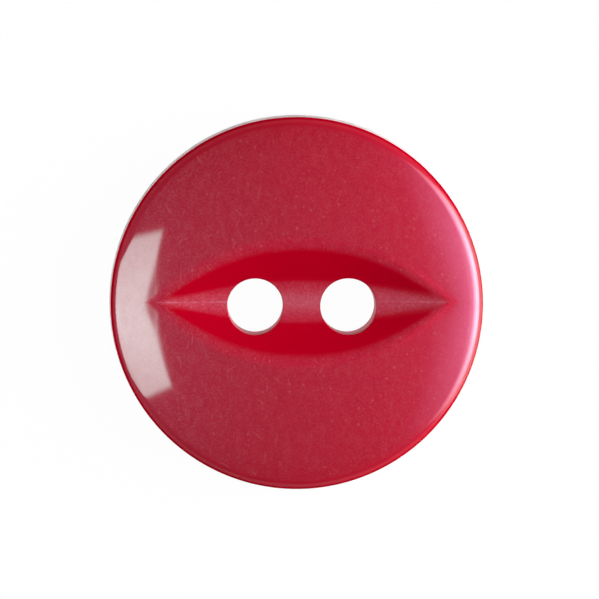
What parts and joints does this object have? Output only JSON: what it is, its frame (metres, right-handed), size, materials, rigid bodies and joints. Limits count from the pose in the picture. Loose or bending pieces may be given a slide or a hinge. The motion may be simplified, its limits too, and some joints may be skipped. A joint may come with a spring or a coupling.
{
  "type": "fish-eye sewing button",
  "caption": "Round domed sewing button with a lens-shaped eye groove across its pearl face, thread holes through the floor of the eye, and a flat pale back.",
  "frame": {"origin": "centre of the flat back, on the axis of the turned blank", "axes": "+Z out of the domed face, +X along the eye, +Y across the eye"},
  "size_m": [0.0164, 0.0164, 0.0031],
  "materials": {
    "pearl_polyester": "polished red pearl on a pale translucent backing"
  },
  "bodies": {
    "root": {"button": "pearl_polyester"}
  },
  "joints": []
}
